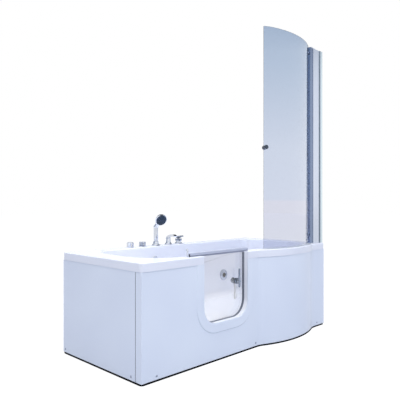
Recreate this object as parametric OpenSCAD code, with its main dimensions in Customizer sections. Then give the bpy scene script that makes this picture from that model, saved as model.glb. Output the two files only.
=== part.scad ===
// Walk-in shower bath: a P-shaped bath with a glass door in its front,
// water jets, a row of deck taps and a curved, pivoting shower screen.
// The pieces are drawn from the front left corner of the bath, +X along its length,
// +Y towards the wall and +Z up, and place() moves them to the middle of the base.

/* [Bath] */
// Length of the bath along the wall
bath_l = 1700; // [1690:5:1800]
// Width of the bath at its narrow end
bath_w = 750; // [740:5:800]
// Height of the rim above the floor
bath_h = 600; // [590:5:640]
// Reach of the showering bulge past the straight front
bulge_d = 67; // [55:1:80]
// Half of the length of the bulge
bulge_half = 330; // [300:5:332]
// Distance from the middle of the bulge to the right end
bulge_to_right = 465; // [463:1:480]
// Radius of the hollow blends at both ends of the bulge
blend_r = 130; // [100:5:160]
// Height of the deep band along the rim's outer edge
lip_h = 45; // [40:1:55]
// Rounding of the rim's outer edge
lip_r = 6; // [4:1:8]
// Thickness of the acrylic and its backing
shell_t = 7; // [5:0.5:8]
// Radius of the corners of the rim
plan_r = 20; // [18:1:30]

/* [Basin] */
// Width of the rim at the backrest end
rim_left = 135; // [125:5:150]
// Width of the rim at the screen end
rim_right = 60; // [56:1:62]
// Width of the rim along the wall, where the taps stand
rim_back = 62; // [60:1:75]
// Width of the rim along the front
rim_front = 78; // [74:1:84]
// Height of the basin's floor
floor_z = 170; // [160:5:180]
// Rounding between the floor and the walls
floor_fillet = 45; // [35:1:48]
// Inward lean of the walls from rim to floor
draft = 15; // [10:1:16]
// Slope of the backrest, measured at the floor
backrest = 150; // [100:5:160]
// Length of the bath over which the backrest's slope fades out
lean_reach = 240; // [220:5:280]
// Rounding of the basin's upper edge
edge_r = 14; // [10:1:16]
// Radius of the basin's front left corner
corner_fl = 230; // [200:5:240]
// Radius of the basin's back left corner
corner_bl = 200; // [150:5:220]
// Radius of the basin's back right corner
corner_br = 80; // [75:5:120]

/* [Door] */
// Distance from the left end to the door opening
door_x = 437; // [420:1:450]
// Width of the door opening
door_w = 380; // [360:1:390]
// Height of the door sill above the floor
sill_z = 215; // [205:1:240]
// Radius of the opening's lower corners
door_r = 100; // [80:1:120]
// Width of the raised border round the opening
border_w = 56; // [40:1:60]
// Height of the raised border
border_t = 4; // [2:0.5:6]
// Depth of the jamb behind the front of the rim
jamb_d = 31; // [28:1:34]
// Depth of the door seal
seal_d = 17; // [16:1:20]
// Width of the door seal
seal_w = 12; // [10:1:14]
// Thickness of the door glass
door_t = 8; // [6:1:8]
// Overlap of the door glass past the sides of the opening
door_lap = 51; // [48:1:54]
// Overlap of the door glass below the sill
sill_lap = 12; // [10:1:14]
// Height of the rail on top of the door
rail_h = 14; // [10:1:20]
// Height of the rail's underside above the rim
rail_up = 3; // [2:0.5:4]
// Radius of the door's hinge rod
rod_r = 5; // [4:0.5:5.5]
// Height of the latch above the floor
latch_z = 421; // [380:1:450]
// Length of the upper arm of the latch lever
lever_up = 76; // [60:1:90]
// Length of the lower arm of the latch lever
lever_down = 38; // [30:1:40]

/* [Panels] */
// Thickness of the front and end panels
panel_t = 4; // [3:0.5:5]
// Set back of the panels behind the rim's edge
panel_in = 3; // [2:0.5:4]
// Length of the front panel's return round the corner
panel_return = 45; // [35:1:60]
// Height of the black strip under the panels
strip_h = 10; // [8:1:12]
// Height of the panel screws above the floor
screw_z = 29; // [26:1:32]
// Width of the joint between the front and end panels
panel_joint = 4; // [2:0.5:5]

/* [Shower screen] */
// Height of the screen's glass
screen_h = 1408; // [1300:1:1500]
// Thickness of the screen's glass
screen_t = 6; // [5:1:8]
// Radius of the screen's curve
screen_r = 650; // [600:5:700]
// Radius of the tighter curve at the free edge
screen_end_r = 172; // [150:1:200]
// Distance from the rim's edge to the outside of the screen at the bulge
screen_in = 24; // [20:1:28]
// Gap under the screen's glass for its drip seal
screen_gap = 6; // [4:1:10]
// Width of the wall channel
channel_w = 28; // [24:1:32]
// Depth of the wall channel
channel_d = 26; // [24:1:32]
// Visible width of the fixed profile
fixed_w = 78; // [70:1:84]
// Width of the moving pivot profile
pivot_w = 44; // [40:1:48]
// Depth of the pivot profile
pivot_d = 26; // [24:1:26]
// Height of the round knob on the screen above the floor
screen_knob_z = 1245; // [1100:5:1350]
// Distance from the right end to where the screen's curve tightens
screen_reach = 655; // [640:5:670]

/* [Deck fittings] */
// Distance from the left end to the air button
button_x = 472; // [460:1:500]
// Distance from the left end to the diverter knob
diverter_x = 574; // [560:1:590]
// Distance from the left end to the hand shower
shower_x = 692; // [680:1:705]
// Distance from the left end to the spout
spout_x = 807; // [790:1:815]
// Distance from the left end to the mixer
mixer_x = 904; // [890:1:930]
// Diameter of the hand shower's face
face_d = 74; // [60:1:78]
// Height of the middle of the shower head above the rim
head_up = 176; // [165:1:190]
// Reach of the shower head in front of its handle
head_out = 40; // [34:1:44]
// Reach of the spout over the basin
spout_reach = 84; // [70:1:100]

/* [Jets] */
// Distance from the left end to the jet seen through the door
jet_x = 1340; // [1300:5:1380]
// Spacing of the jets along the back wall
jet_step = 460; // [430:5:480]
// Height of the jets above the floor
jet_z = 330; // [310:5:350]
// Diameter of a jet's trim ring
jet_d = 84; // [76:1:90]
// Radius of a jet's swivelling ball
ball_r = 17; // [15:0.5:18]
// Turn of each jet ball to either side, in degrees
ball_turn = 15; // [10:1:20]
// Radius of the pump's motor
pump_r = 52; // [48:1:54]
// Length of the pump along its shaft
pump_l = 206; // [190:1:220]

/* [Waste] */
// Distance from the left end to the waste and overflow
waste_x = 650; // [630:5:670]
// Diameter of the waste flange in the floor
waste_d = 70; // [64:1:76]
// Distance from the rim down to the overflow
overflow_down = 105; // [100:5:120]

/* [Frame] */
// Side of the square steel tube of the frame
tube = 30; // [25:1:35]
// Height of the frame above the floor
frame_z = 78; // [74:1:84]
// Diameter of the levelling pads
pad_d = 50; // [40:1:60]
// Thickness of the board bonded under the floor
board_t = 15; // [12:1:18]

/* [Hidden] */
// Gap between pieces that turn or slide past each other
gap = 0.3;
// Radial play of pins and shafts in their holes
play = 0.05;
// Gap where one piece rests against another
rest = 0.1;
// Overlap that makes cuts run clean through
cut = 1;
// Steps of the corner arcs, the blends, the bulge and the rounded edges
corner_n = 12;
blend_n = 4;
bulge_n = 32;
edge_n = 3;
fillet_n = 4;
fine = 96;
huge_fn = 360;

// Derived sizes of the outline
bulge_x = bath_l - bulge_to_right;
bulge_sum = (bulge_half * bulge_half / bulge_d + bulge_d) / 2;
bulge_r = bulge_sum - blend_r;
bulge_y = bulge_r - bulge_d;
blend_a = atan2(bulge_y + blend_r, bulge_half);
corner_fr = bulge_to_right - bulge_half - rim_right - 5;
overflow_z = bath_h - overflow_down;
basin_x0 = rim_left;
basin_x1 = bath_l - rim_right;
basin_y1 = bath_w - rim_back;
wall_top = bath_h - edge_r;
wall_foot = floor_z + floor_fillet;
wall_a = atan(draft / (wall_top - wall_foot));
under_z = bath_h - shell_t;
lip_z = bath_h - lip_h;

// Derived sizes of the door
seal_y = jamb_d + seal_d;
glass_y = seal_y + gap;
glass_back = glass_y + door_t;
door_x1 = door_x + door_w;
rod_x = door_x - door_lap - 24;
rod_y = glass_back + 1.5;
glass_x0 = rod_x + 12;
glass_x1 = door_x1 + door_lap;
glass_z0 = sill_z - sill_lap;
pocket_x0 = rod_x - 12;
pocket_x1 = glass_x1 + 14;
pocket_z = glass_z0 - 8;
cheek = 15;
latch_x = door_x1 - door_w * 0.13;
sleeve_r = 9;
clamp_z = [glass_z0 + 70, bath_h - 90];
clamp_h = 44;
clamp_t = 4;
rail_z = bath_h + rail_up;
gasket_h = 6;

// Derived places of the screen
screen_y = screen_in - bulge_d;
screen_cy = screen_y + screen_r;
screen_a = asin((bulge_x - bath_l + screen_reach) / screen_r);
profile_y = channel_d / 2 + 15;
channel_x = bath_l - channel_w;
fixed_x = channel_x - fixed_w - 16;
pivot_x = fixed_x - pivot_d / 2 - 1;
pivot_left = pivot_x - pivot_w + pivot_d / 2;
screen_z = bath_h + screen_gap;
screen_top = screen_z + screen_h;
post_top = screen_top - 8;
hinge_a = asin((pivot_left + 7 - bulge_x) / screen_r);
end_a = 38;

deck_y = bath_w - rim_back / 2;

// Rings over the rim's rounded outer edge and down its deep band
lip_rings = concat(
  [for (i = [0:edge_n]) let (a = 90 * (1 - i / edge_n))
    rim_ring(lip_r - lip_r * cos(a), bath_h - lip_r + lip_r * sin(a))],
  [rim_ring(0, lip_z), rim_ring(shell_t, lip_z), rim_ring(shell_t, bath_h - lip_r)]);

// Derived places of the frame, pipes and fittings
jet_back = [jet_x - 2 * jet_step, jet_x - jet_step, jet_x];
jet_end = [bath_w * 0.4, bath_w * 0.64];
neck_r = 20;
suction_x = 560;
suction_z = 262;
suction_r = 45;
front_screws = [100, bulge_x - bulge_half - 11, bath_l - 96];
side_screws = [87, bath_w - 26];
screw_r = 2.5;
board_z = floor_z - shell_t - board_t - rest;
board_x = [basin_x0 + backrest + floor_fillet + 20, basin_x1 - draft - floor_fillet - 20];
board_y = [rim_front + draft + floor_fillet + 15, basin_y1 - draft - floor_fillet - 15];
rail_y = [board_y[0] + 10, board_y[1] - 10 - tube];
frame_x = [22, bath_l - 10];
post_s = 20;
post_x = [frame_x[0], frame_x[1] - post_s];
post_y = [24, bath_w - 36];
foot_x = [frame_x[0] + 53, 520, frame_x[1] - 112];
stud_r = 6;
spindle_y = glass_y - 22;
outlet_l = bath_w / 2 - 40;
outlet_r = 20;
ball_z = -2;
stub_d = 35;
stub_h = 34;
pump_x = 150;
cross_x = [frame_x[0], pump_x - 45, pump_x + 15, 560, 1130, frame_x[1] - tube];
pump_y = 250;
pump_z = frame_z + tube + pump_r + 18;
outlet_y = pump_y + pump_l - 53;
outlet_z = pump_z + 76;
manifold_y = bath_w - 16;
manifold_x = bath_l - 46;
water_z = jet_z + 55;
air_z = jet_z - 45;
stub_y = basin_y1 - draft * (wall_top - jet_z) / (wall_top - wall_foot) + stub_d;
stub_x = basin_x1 - draft * (wall_top - jet_z) / (wall_top - wall_foot) + stub_d;
tail_r = 13;
nut_r = 18;
holder_h = 26;
head_tilt = 24;
head_turn = -18;
neck_turn = 20;
neck_z = head_up - 50;
spout_h = 48;
spout_r = 13;
inlet_l = 150;
lever_turn = -35;
axle_z = 40.5;
channel_screws = [bath_h + 60, bath_h + 480, post_top - 480, post_top - 60];
bracket_h = 6;
pin_r = 4;
screen_c = [bulge_x, screen_cy];
end_c = screen_c - (screen_r - screen_end_r) * [sin(screen_a), cos(screen_a)];
knob_a = 270 - end_a * 0.9;
bolt_a = 270 + asin((pivot_left - 9 - bulge_x) / screen_r);
bolt_z = [screen_z + 60, post_top - 42];
bolt_r = 3;
trap_h = 94;
outlet_drop = 72;
trap_z = floor_z - 50 - rest;

module place() {
  translate([-bath_l / 2, (bulge_d - bath_w) / 2, 0])
    children();
}

// Outlines

function arc(c, r, a0, a1, n) =
  [for (i = [0:n]) let (a = a0 + (a1 - a0) * i / n) [c[0] + r * cos(a), c[1] + r * sin(a)]];

function inner_arc(c, r, a0, a1, n) =
  [for (i = [1:n - 1]) let (a = a0 + (a1 - a0) * i / n) [c[0] + r * cos(a), c[1] + r * sin(a)]];

// A closed outline that follows the bulge, d behind the rim's front edge,
// with corner radii r, drawn in by e on all sides
function outline(x0, x1, d, y1, r, e) = concat(
  arc([x0 + r[0], d + r[0]], r[0] - e, 180, 270, corner_n),
  arc([bulge_x - bulge_half, -blend_r], blend_r + d + e, 90, blend_a, blend_n),
  inner_arc([bulge_x, bulge_y], bulge_r - d - e, 180 + blend_a, 360 - blend_a, bulge_n),
  arc([bulge_x + bulge_half, -blend_r], blend_r + d + e, 180 - blend_a, 90, blend_n),
  arc([x1 - r[1], d + r[1]], r[1] - e, 270, 360, corner_n),
  arc([x1 - r[2], y1 - r[2]], r[2] - e, 0, 90, corner_n),
  arc([x0 + r[3], y1 - r[3]], r[3] - e, 90, 180, corner_n));

function rim_outline(e) =
  outline(0, bath_l, 0, bath_w, [plan_r, plan_r, plan_r, plan_r], e);

function basin_outline(e) =
  outline(basin_x0, basin_x1, rim_front, basin_y1, [corner_fl, corner_fr, corner_br, corner_bl], e);

function lean(z) = backrest * max(0, wall_top - z) / (wall_top - floor_z);

function basin_ring(e, z) = [for (p = basin_outline(e))
  [p[0] + lean(z) * max(0, 1 - (p[0] - basin_x0) / lean_reach), p[1], z]];

function rim_ring(e, z) = [for (p = rim_outline(e)) [p[0], p[1], z]];

// Rings of the basin's inside, from the floor up to the rim
function basin_rings(t) = concat(
  [for (i = [0:fillet_n]) let (a = 90 * (1 - i / fillet_n), r = floor_fillet + t)
    basin_ring(draft - t + r - r * cos(a), wall_foot - r * sin(a))],
  [for (i = [0:edge_n]) let (a = 90 * i / edge_n, r = max(edge_r - t, 2))
    basin_ring(-t - (r - r * cos(a)), wall_top + r * sin(a))]);

function reversed(list) = [for (i = [len(list) - 1:-1:0]) list[i]];

module loft(rings) {
  n = len(rings[0]);
  m = len(rings);
  points = [for (ring = rings) for (p = ring) p];
  sides = [for (j = [0:m - 2]) for (i = [0:n - 1])
    let (a = j * n + i, b = j * n + (i + 1) % n)
      each [[a, b, b + n], [a, b + n, a + n]]];
  first = [[for (i = [n - 1:-1:0]) i]];
  last = [[for (i = [0:n - 1]) (m - 1) * n + i]];
  polyhedron(points, concat(first, sides, last), convexity = 8);
}

// The rim's outline as true arcs, drawn in by e
module rim_area(e) {
  difference() {
    union() {
      translate([e, e])
        square([bath_l - 2 * e, bath_w - 2 * e]);
      intersection() {
        translate([bulge_x, bulge_y])
          circle(bulge_r - e, $fn = huge_fn);
        translate([bulge_x - bulge_half, -2 * bulge_d])
          square([2 * bulge_half, 4 * bulge_d]);
      }
      for (s = [-1, 1])
        translate([bulge_x + s * bulge_half, 0])
          polygon([[0, 2 * e], [0, e], blend_point(s, e), [-s * bulge_half / 2, 2 * e]]);
    }
    for (s = [-1, 1])
      translate([bulge_x + s * bulge_half, -blend_r])
        circle(blend_r + e, $fn = huge_fn);
  }
}

// Where a blend meets the bulge, from the blend's end on the straight front
function blend_point(s, e) =
  [-s * (blend_r + e) * cos(blend_a), (blend_r + e) * sin(blend_a) - blend_r];

module door_outline(e, top) {
  translate([door_x - e, sill_z - e + door_r])
    square([door_w + 2 * e, top - sill_z - door_r + e]);
  translate([door_x + door_r - e, sill_z - e])
    square([door_w - 2 * door_r + 2 * e, top - sill_z + e]);
  for (x = [door_x + door_r, door_x1 - door_r])
    translate([x, sill_z + door_r])
      circle(door_r + e, $fn = fine);
}

// Stands an outline drawn in X and Z upright, from y0 to y1
module upright(y0, y1) {
  translate([0, y1, 0])
    rotate([90, 0, 0])
      linear_extrude(y1 - y0)
        children();
}

// Frames on the walls: +Z points into the basin
module on_back_wall(x, z) {
  y = basin_y1 - draft * (wall_top - z) / (wall_top - wall_foot);
  translate([x, y, z])
    rotate([90 - wall_a, 0, 0])
      children();
}

module on_end_wall(y, z) {
  x = basin_x1 - draft * (wall_top - z) / (wall_top - wall_foot);
  translate([x, y, z])
    rotate([0, wall_a - 90, 0])
      rotate([0, 0, 90])
        children();
}

module at_jet(i) {
  if (i < 3)
    on_back_wall(jet_back[i], jet_z)
      children();
  else
    on_end_wall(jet_end[i - 3], jet_z)
      children();
}

// The bath

module wall_profile() {
  foot = rim_front + draft - shell_t / 2;
  head = rim_front - shell_t / 2;
  back = panel_in + panel_t + 2 * gap;
  polygon([
    [back, pocket_z - 27], [foot + 3.5, pocket_z - 27], [foot + 3.5, pocket_z],
    [foot, wall_foot], [head, wall_top], [head, under_z + shell_t / 2],
    [shell_t - 2, under_z + shell_t / 2], [shell_t - 2, lip_z + 2 * gap], [back, lip_z + 2 * gap]
  ]);
}

module tub_shell() {
  color("white")
    place()
      difference() {
        union() {
          loft(concat(basin_rings(0), lip_rings,
            [rim_ring(lip_r + 2, under_z)],
            reversed(basin_rings(shell_t))));
          translate([pocket_x0 - cheek, 0, 0])
            rotate([90, 0, 90])
              linear_extrude(pocket_x1 - pocket_x0 + 2 * cheek)
                wall_profile();
        }
        translate([pocket_x0, jamb_d, pocket_z])
          cube([pocket_x1 - pocket_x0, rim_front, bath_h]);
        upright(-bulge_d, jamb_d + cut)
          door_outline(0, bath_h + 2 * cut);
        for (x = [button_x, diverter_x, shower_x, spout_x, mixer_x])
          translate([x, deck_y, under_z - cut])
            cylinder(r = tail_r + 0.5, h = shell_t + 2 * cut, $fn = fine);
        for (i = [0:4])
          at_jet(i)
            translate([0, 0, -shell_t - 6])
              cylinder(r = neck_r + 0.5, h = shell_t + 12, $fn = fine);
        on_back_wall(suction_x, suction_z)
          translate([0, 0, -shell_t - 6])
            cylinder(r = neck_r + 4.5, h = shell_t + 12, $fn = fine);
        on_back_wall(waste_x, overflow_z)
          translate([0, 0, -shell_t - 6])
            cylinder(r = neck_r + 4.5, h = shell_t + 12, $fn = fine);
        translate([waste_x, bath_w / 2, floor_z - shell_t - cut])
          cylinder(r = 26, h = shell_t + 2 * cut, $fn = fine);
        translate([waste_x, bath_w / 2, floor_z - 3])
          cylinder(r = waste_d / 2 + 1, h = 3 + cut, $fn = fine);
      }
}

// Panels

module panel_strip(e0, e1) {
  difference() {
    rim_area(e0);
    rim_area(e1);
  }
}

module border_profile() {
  polygon([[0, 0], [0, 0.5 - border_t], [2, -border_t], [border_w - 5, -border_t], [border_w, 0]]);
}

// Sweeps a profile, drawn as distance from the opening and depth, round its sides and sill
module round_opening(top) {
  for (s = [0, 1])
    translate([s * 2 * (door_x + door_w / 2), 0, 0])
      mirror([s, 0, 0]) {
        translate([door_x, 0, sill_z + door_r])
          linear_extrude(top - sill_z - door_r)
            mirror([1, 0])
              children();
        translate([door_x + door_r, 0, sill_z + door_r])
          rotate([90, 0, 0])
            rotate([0, 0, 180])
              rotate_extrude(angle = 90, $fn = fine)
                translate([door_r, 0])
                  mirror([0, 1])
                    children();
      }
  translate([door_x + door_r, 0, sill_z])
    rotate([90, 0, 90])
      linear_extrude(door_w - 2 * door_r)
        rotate(-90)
          children();
}

module front_panel() {
  color("whitesmoke")
    place()
      difference() {
        union() {
          translate([0, 0, strip_h + rest])
            linear_extrude(lip_z - strip_h - gap)
              difference() {
                intersection() {
                  panel_strip(panel_in, panel_in + panel_t);
                  translate([0, -2 * bulge_d])
                    square([bath_l - panel_in, 2 * bulge_d + panel_in + panel_return]);
                }
                translate([bath_l - 2 * panel_in - panel_t, panel_in + panel_t])
                  square([2 * panel_in + panel_t, panel_return]);
              }
          translate([0, panel_in, 0])
            round_opening(lip_z - gap)
              border_profile();
        }
        upright(-bulge_d, panel_in + panel_t + cut)
          door_outline(0, bath_h);
        for (x = front_screws)
          translate([x, panel_in + panel_t + cut, screw_z])
            rotate([90, 0, 0])
              cylinder(r = screw_r + 0.3, h = panel_t + 2 * cut, $fn = 32);
      }
}

module end_panel() {
  color("whitesmoke")
    place()
      difference() {
        translate([panel_in, panel_in + panel_return + panel_joint, strip_h + rest])
          cube([panel_t, bath_w - 2 * panel_in - panel_return - panel_joint, lip_z - strip_h - gap]);
        for (y = side_screws)
          translate([panel_in - cut, y, screw_z])
            rotate([0, 90, 0])
              cylinder(r = screw_r + 0.3, h = panel_t + 2 * cut, $fn = 32);
      }
}

module base_strip() {
  color("#1e2430")
    place()
      linear_extrude(strip_h)
        difference() {
          polygon(rim_outline(panel_in - 0.5));
          polygon(rim_outline(panel_in + panel_t));
          translate([panel_in + panel_t, panel_in + panel_return + 50])
            square([bath_l, bath_w]);
          translate([bath_l - panel_in - 2 * panel_t, panel_in + panel_t])
            square([4 * panel_t, bath_w]);
        }
}

module screw_cap() {
  rotate_extrude($fn = 48)
    polygon([[0, 0], [6, 0], [6, 1], [4, 2.2], [0, 2.6]]);
  translate([0, 0, -24])
    cylinder(r = screw_r, h = 24, $fn = 32);
}

module panel_screws() {
  color("lightgray")
    place() {
      for (x = front_screws)
        translate([x, panel_in - rest, screw_z])
          rotate([90, 0, 0])
            screw_cap();
      for (y = side_screws)
        translate([panel_in - rest, y, screw_z])
          rotate([0, -90, 0])
            screw_cap();
    }
}

// Wooden blocks on the floor that the panels are screwed to
module panel_blocks() {
  back = panel_in + panel_t + rest;
  color("burlywood")
    place() {
      for (x = front_screws)
        difference() {
          translate([x - 30, back, 0])
            cube([60, 24, 44]);
          translate([x, back + 25, screw_z])
            rotate([90, 0, 0])
              cylinder(r = screw_r + play, h = 30, $fn = 32);
        }
      for (y = side_screws)
        difference() {
          translate([back, y - 23, 0])
            cube([24, 46, 44]);
          translate([back - 1, y, screw_z])
            rotate([0, 90, 0])
              cylinder(r = screw_r + play, h = 30, $fn = 32);
        }
    }
}

// Frame

module base_board() {
  color("tan")
    place()
      difference() {
        translate([board_x[0], board_y[0], board_z])
          cube([board_x[1] - board_x[0], board_y[1] - board_y[0], board_t]);
        translate([waste_x, bath_w / 2, board_z - cut])
          cylinder(r = 42, h = board_t + 2 * cut, $fn = fine);
      }
}

module steel_frame() {
  top = frame_z + tube;
  color("#3a3d42")
    place() {
      difference() {
        union() {
          for (y = rail_y)
            translate([frame_x[0], y, frame_z])
              cube([frame_x[1] - frame_x[0], tube, tube]);
          for (x = cross_x)
            translate([x, rail_y[0] + cut, frame_z])
              cube([tube, rail_y[1] - rail_y[0], tube]);
          for (x = [frame_x[0], frame_x[1] - tube])
            translate([x, post_y[0], frame_z])
              cube([tube, post_y[1] + post_s - post_y[0], tube]);
          for (x = post_x)
            for (y = post_y)
              translate([x, y, frame_z])
                cube([post_s, post_s, under_z - frame_z - rest]);
          for (x = [board_x[0] + 20, cross_x[3], cross_x[4], board_x[1] - 20 - tube])
            for (y = rail_y)
              translate([x, y, top - cut])
                cube([tube, tube, board_z - top - rest + cut]);
        }
        for (x = foot_x)
          for (y = rail_y)
            translate([x, y + tube / 2, frame_z - cut])
              cylinder(r = stud_r + play, h = tube + 2 * cut, $fn = 48);
      }
    }
}

module foot_studs() {
  color("silver")
    place()
      for (x = foot_x)
        for (y = rail_y)
          translate([x, y + tube / 2, 0]) {
            translate([0, 0, 8])
              cylinder(r = stud_r, h = frame_z + tube + 12 - 8, $fn = 48);
            translate([0, 0, frame_z - 10 - rest])
              cylinder(r = 11, h = 10, $fn = 6);
            translate([0, 0, frame_z + tube + rest])
              cylinder(r = 11, h = 10, $fn = 6);
          }
}

module foot_pads() {
  color("#22242a")
    place()
      for (x = foot_x)
        for (y = rail_y)
          translate([x, y + tube / 2, 0])
            difference() {
              rotate_extrude($fn = fine)
                polygon([
                  [0, 0], [pad_d / 2, 0], [pad_d / 2, 5],
                  [pad_d / 2 - 8, 12], [12, 20], [0, 20]
                ]);
              translate([0, 0, 8 - rest])
                cylinder(r = stud_r + play, h = 20, $fn = 48);
            }
}

// Door seal, hinge and keep

module door_seal() {
  color("#15181d")
    place()
      translate([0, jamb_d + rest, 0])
        round_opening(bath_h - gasket_h - 1)
          polygon([
            [-3, 3], [0, 0], [seal_w, 0], [seal_w, 6], [seal_w - 3, seal_d - 2],
            [seal_w - 5, seal_d - rest], [0, seal_d - rest], [-3, seal_d - 4]
          ]);
}

module hinge_rod() {
  color("silver")
    place()
      translate([rod_x, rod_y, pocket_z + 2])
        rotate_extrude($fn = 48)
          polygon([
            [0, 0], [rod_r, 0], [rod_r, bath_h - pocket_z + 22],
            [rod_r + 3, bath_h - pocket_z + 26], [rod_r + 3, bath_h - pocket_z + 34],
            [rod_r - 1, bath_h - pocket_z + 40], [0, bath_h - pocket_z + 41]
          ]);
}

module hinge_bracket(z) {
  difference() {
    union() {
      translate([pocket_x0 + rest, rod_y - 14, z])
        cube([3, 28, 26]);
      translate([pocket_x0 + rest, rod_y - 7, z])
        cube([rod_x - pocket_x0, 14, 26]);
      translate([rod_x, rod_y, z])
        cylinder(r = 8, h = 26, $fn = 48);
    }
    translate([rod_x, rod_y, z - cut])
      cylinder(r = rod_r + play, h = 26 + 2 * cut, $fn = 48);
  }
}

module hinge_brackets() {
  color("silver")
    place() {
      for (z = clamp_z)
        hinge_bracket(z - 26 - gap);
      hinge_bracket(pocket_z + rest);
    }
}

module latch_keep() {
  color("silver")
    place() {
      translate([pocket_x1 - 2 - rest, jamb_d + 16, latch_z - 34])
        cube([2, rim_front - jamb_d - 18, 68]);
      translate([glass_x1 + 3, glass_back + 14, latch_z - 24])
        cube([pocket_x1 - glass_x1 - 3 - rest, 4, 48]);
    }
}

// The door and its latch

module pane_outline() {
  r = door_r + door_lap - 10;
  intersection() {
    translate([glass_x0, glass_z0])
      square([glass_x1 - glass_x0, rail_z + 9 - glass_z0]);
    union() {
      translate([glass_x0, glass_z0 + r])
        square([glass_x1 - glass_x0, bath_h]);
      translate([glass_x0 + r, glass_z0])
        square([glass_x1 - glass_x0 - 2 * r, bath_h]);
      for (x = [glass_x0 + r, glass_x1 - r])
        translate([x, glass_z0 + r])
          circle(r, $fn = fine);
    }
  }
}

module door_glass() {
  color("#9fc4d8", 0.4)
    place()
      difference() {
        upright(glass_y, glass_back)
          pane_outline();
        translate([latch_x, glass_y - cut, latch_z])
          rotate([-90, 0, 0])
            cylinder(r = 9, h = door_t + 2 * cut, $fn = 48);
        for (z = clamp_z)
          for (dz = [11, clamp_h - 11])
            translate([glass_x0 + 24, glass_y - cut, z + dz])
              rotate([-90, 0, 0])
                cylinder(r = 4, h = door_t + 2 * cut, $fn = 32);
      }
}

module door_top_rail() {
  y0 = glass_y - 4;
  y1 = glass_back + 4;
  color("silver")
    place()
      difference() {
        translate([glass_x0, y1, rail_z])
          rotate([90, 0, 0])
            linear_extrude(y1 - y0)
              polygon([
                [0, 0], [glass_x1 - glass_x0, 0], [glass_x1 - glass_x0, rail_h - 3],
                [glass_x1 - glass_x0 - 3, rail_h], [3, rail_h], [0, rail_h - 3]
              ]);
        translate([glass_x0 - cut, glass_y - rest, rail_z - cut])
          cube([glass_x1 - glass_x0 + 2 * cut, door_t + 2 * rest, 9 + cut + rest]);
      }
}

// Rubber strip along the glass under the rail
module rail_gasket() {
  color("#15181d")
    place()
      translate([glass_x0, glass_y - 3.5, rail_z - rest - gasket_h - rail_up])
        cube([glass_x1 - glass_x0, 3.5 - rest, gasket_h + rail_up]);
}

module hinge_clamps() {
  plate_l = 40;
  color("silver")
    place()
      for (z = clamp_z)
        difference() {
          union() {
            translate([rod_x, rod_y, z])
              cylinder(r = sleeve_r, h = clamp_h, $fn = 48);
            translate([rod_x, glass_y - rest - clamp_t, z])
              cube([glass_x0 - rod_x + plate_l, clamp_t, clamp_h]);
            translate([rod_x, glass_back + rest, z])
              cube([glass_x0 - rod_x + plate_l, clamp_t, clamp_h]);
            translate([rod_x - 4, glass_y - rest - clamp_t, z])
              cube([glass_x0 - rod_x + 3.5, door_t + clamp_t + 2 * rest, clamp_h]);
          }
          translate([rod_x, rod_y, z - cut])
            cylinder(r = rod_r + play, h = clamp_h + 2 * cut, $fn = 48);
          for (dz = [11, clamp_h - 11])
            translate([glass_x0 + 24, glass_y - 10, z + dz])
              rotate([-90, 0, 0])
                cylinder(r = 3 + play, h = 40, $fn = 32);
        }
}

module hinge_screws() {
  color("gray")
    place()
      for (z = clamp_z)
        for (dz = [11, clamp_h - 11])
          translate([glass_x0 + 24, glass_y - clamp_t - 2 * rest, z + dz])
            rotate([-90, 0, 0]) {
              cylinder(r = 3, h = door_t + 2 * clamp_t + 6, $fn = 32);
              translate([0, 0, -2])
                cylinder(r = 5, h = 2, $fn = 32);
              translate([0, 0, door_t + 2 * clamp_t + 4 * rest])
                cylinder(r = 5, h = 3, $fn = 6);
            }
}

module latch_rose() {
  color("silver")
    place()
      for (s = [0, 1])
        translate([latch_x, s == 0 ? glass_y - rest : glass_back + rest, latch_z])
          rotate([s == 0 ? 90 : -90, 0, 0])
            difference() {
              rotate_extrude($fn = fine)
                polygon([[6 + play, 0], [18, 0], [18, 3], [14, 6], [6 + play, 6]]);
              translate([0, 0, 6 - 1.5])
                cylinder(r = 9, h = 3, $fn = 48);
            }
}

module latch_spindle() {
  reach = glass_x1 + 9 - latch_x;
  color("gray")
    place() {
      translate([latch_x, spindle_y, latch_z])
        rotate([-90, 0, 0])
          cylinder(r = 6, h = glass_back + 30 - spindle_y, $fn = 48);
      translate([latch_x, 0, latch_z])
        upright(glass_back + 6.5, glass_back + 12.5) {
          circle(12, $fn = 48);
          translate([-8, -reach])
            square([16, reach]);
        }
    }
}

module latch_lever() {
  y0 = spindle_y - 2;
  y1 = y0 + 7;
  color("silver")
    place()
      translate([latch_x, 0, latch_z])
        difference() {
          union() {
            upright(y0, glass_y - 7.5)
              circle(11, $fn = 48);
            upright(y0, y1)
              polygon([
                [-8, 0], [-4, lever_up - 4], [4, lever_up - 4], [8, 0],
                [5, 6 - lever_down], [-5, 6 - lever_down]
              ]);
            upright(y0, y1)
              translate([0, lever_up - 4])
                circle(4.5, $fn = 32);
            upright(y0, y1)
              translate([0, 6 - lever_down])
                circle(5.5, $fn = 32);
          }
          translate([0, spindle_y - 0.1, 0])
            rotate([-90, 0, 0])
              cylinder(r = 6 + play, h = 30, $fn = 48);
        }
}

module latch_knob() {
  color("silver")
    place()
      translate([latch_x, glass_back + 13, latch_z])
        rotate([-90, 0, 0])
          difference() {
            rotate_extrude($fn = fine)
              polygon([[0, 0], [9, 0], [10, 4], [17, 9], [18, 15], [15, 20], [0, 22]]);
            translate([0, 0, -cut])
              cylinder(r = 6 + play, h = 17 + rest + cut, $fn = 48);
          }
}

// Waste and overflow

module waste_flange() {
  color("silver")
    place()
      translate([waste_x, bath_w / 2, floor_z]) {
        rotate_extrude($fn = fine)
          polygon([
            [22, rest - 3], [waste_d / 2, rest - 3], [waste_d / 2, -1], [waste_d / 2 - 6, 0.6],
            [26, 0], [19, -4], [19, -50], [22, -50]
          ]);
        for (a = [0:120:240])
          rotate(a)
            translate([4 + play, -1.5, -30])
              cube([16 - play, 3, 8]);
      }
}

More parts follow.
